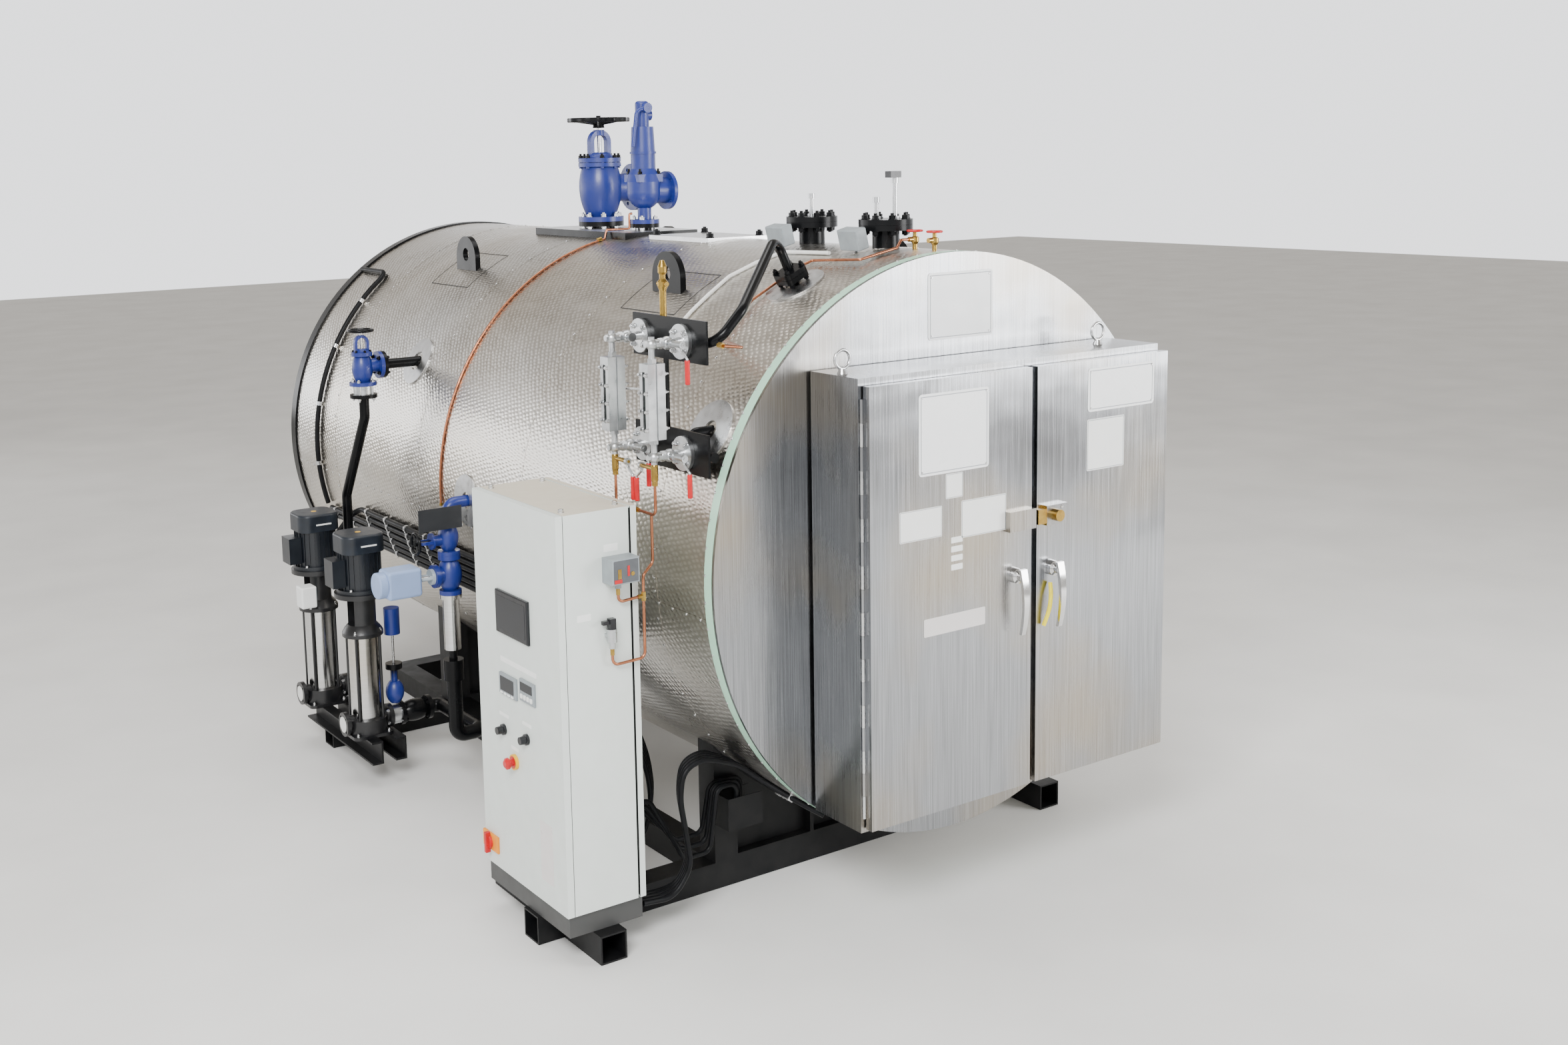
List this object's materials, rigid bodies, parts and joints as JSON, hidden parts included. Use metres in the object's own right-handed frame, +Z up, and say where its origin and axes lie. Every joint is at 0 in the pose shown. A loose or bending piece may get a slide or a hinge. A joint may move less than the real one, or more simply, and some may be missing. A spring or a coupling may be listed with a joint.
{
  "type": "industrial boiler",
  "caption": "Skid-mounted horizontal electric steam boiler in embossed metal cladding, with crown and safety valves, level gauges, two feed pumps, a control cabinet and a two-door front enclosure.",
  "frame": {"origin": "middle of the underside of the front cross-beam, below the shell's axis", "axes": "+Z up, +Y from the front plate to the rear end, +X to the right side"},
  "size_m": [2.6055, 4.2395, 2.8901],
  "materials": {
    "stucco_aluminium": "stucco embossed",
    "brushed_stainless": "brushed",
    "black_paint": "gloss",
    "grey_powder_coat": "satin",
    "blue_enamel": "gloss",
    "black_cast_iron": "painted",
    "blue_motor_paint": "satin",
    "zinc_plated": "satin",
    "gauge_steel": "satin",
    "brass": "machined",
    "copper": "drawn tube",
    "red_grip": "gloss",
    "screen_plastic": "gloss",
    "grey_plastic": "satin",
    "black_rubber": "matt",
    "white_plastic": "satin",
    "pale_blue_paint": "satin"
  },
  "bodies": {
    "boiler": {"shell_cladding": "stucco_aluminium", "front_end_plate": "brushed_stainless", "rear_end_plate": "stucco_aluminium", "rear_rim": "black_paint", "shell_collars": "stucco_aluminium", "lifting_lugs": "black_paint", "cover_plate": "stucco_aluminium", "access_plate": "stucco_aluminium", "skid_rails": "black_paint", "skid_cross_beams": "black_paint", "front_saddle": "black_paint", "rear_saddle": "black_paint", "crown_nozzles": "black_paint", "crown_valve_body": "blue_enamel", "safety_valve_body": "blue_enamel", "feed_valve_body": "blue_enamel", "feed_pipe": "black_paint", "riser_pipe": "black_paint", "pump_channel": "black_paint", "pump_heads": "black_cast_iron", "pump_sleeves": "brushed_stainless", "pump_stools": "black_cast_iron", "pump_motors": "blue_motor_paint", "enclosure_body": "brushed_stainless", "eye_bolts": "zinc_plated", "enclosure_hinges": "zinc_plated", "cabinet_body": "grey_powder_coat", "cabinet_plinth": "grey_powder_coat", "gauge_bracket": "black_paint", "gauge_nozzle": "black_paint", "gauge_glasses": "gauge_steel", "gauge_cocks": "gauge_steel", "balance_pipe": "black_paint", "probe_nozzles": "black_paint", "level_probes": "zinc_plated", "blue_valves": "blue_enamel", "control_actuator": "pale_blue_paint", "check_valves": "gauge_steel", "cable_conduits": "black_rubber", "conduit_clips": "zinc_plated", "copper_lines": "copper", "brass_fittings": "brass", "side_instruments": "grey_plastic", "small_levers": "red_grip", "signal_cable": "white_plastic"},
    "left_door": {"left_enclosure_door": "brushed_stainless"},
    "left_handle": {"left_door_handle": "zinc_plated"},
    "right_door": {"right_enclosure_door": "brushed_stainless"},
    "right_handle": {"right_door_handle": "zinc_plated"},
    "control_door": {"cabinet_door": "grey_powder_coat", "touch_screen": "screen_plastic", "controllers": "grey_plastic", "door_knobs": "screen_plastic", "isolator": "red_grip"},
    "crown_wheel": {"crown_valve_wheel": "black_paint"},
    "feed_wheel": {"feed_valve_wheel": "black_paint"},
    "easing_lever": {"safety_valve_lever": "blue_enamel"},
    "upper_lever": {"upper_cock_lever": "red_grip"},
    "lower_lever": {"lower_cock_lever": "red_grip"},
    "control_hand_wheel": {"control_wheel": "black_paint"}
  },
  "joints": [
    {"name": "left_door_hinge", "type": "hinge", "parent": "boiler", "child": "left_door", "pos_m": [-0.647, -0.7443, 1.1725], "axis": [0, 0, -1], "range_deg": [0, 110]},
    {"name": "right_door_hinge", "type": "hinge", "parent": "boiler", "child": "right_door", "pos_m": [0.764, -0.7443, 1.1725], "axis": [0, 0, 1], "range_deg": [0, 110]},
    {"name": "left_handle_turn", "type": "hinge", "parent": "left_door", "child": "left_handle", "pos_m": [0.002, -0.774, 1.198], "axis": [0, 1, 0], "range_deg": [0, 90]},
    {"name": "right_handle_turn", "type": "hinge", "parent": "right_door", "child": "right_handle", "pos_m": [0.178, -0.774, 1.198], "axis": [0, -1, 0], "range_deg": [0, 90]},
    {"name": "cabinet_door_hinge", "type": "hinge", "parent": "boiler", "child": "control_door", "pos_m": [-1.4785, -0.261, 0.85], "axis": [0, 0, 1], "range_deg": [0, 120]},
    {"name": "crown_wheel_turn", "type": "hinge", "parent": "boiler", "child": "crown_wheel", "pos_m": [0, 1.99, 2.816], "axis": [0, 0, 1], "continuous": true},
    {"name": "feed_wheel_turn", "type": "hinge", "parent": "boiler", "child": "feed_wheel", "pos_m": [-1.187, 2.078, 1.911], "axis": [0, 0, 1], "continuous": true},
    {"name": "easing_lever_lift", "type": "hinge", "parent": "boiler", "child": "easing_lever", "pos_m": [0, 1.557, 2.859], "axis": [0, 1, 0], "range_deg": [0, 30]},
    {"name": "upper_cock_turn", "type": "hinge", "parent": "boiler", "child": "upper_lever", "pos_m": [-1.09, -0.381, 2.052], "axis": [0, 1, 0], "range_deg": [0, 90]},
    {"name": "lower_cock_turn", "type": "hinge", "parent": "boiler", "child": "lower_lever", "pos_m": [-1.09, -0.381, 1.681], "axis": [0, 1, 0], "range_deg": [0, 90]},
    {"name": "control_wheel_turn", "type": "hinge", "parent": "boiler", "child": "control_hand_wheel", "pos_m": [-1.287, 1.35, 1.1012], "axis": [1, 0, 0], "continuous": true}
  ]
}
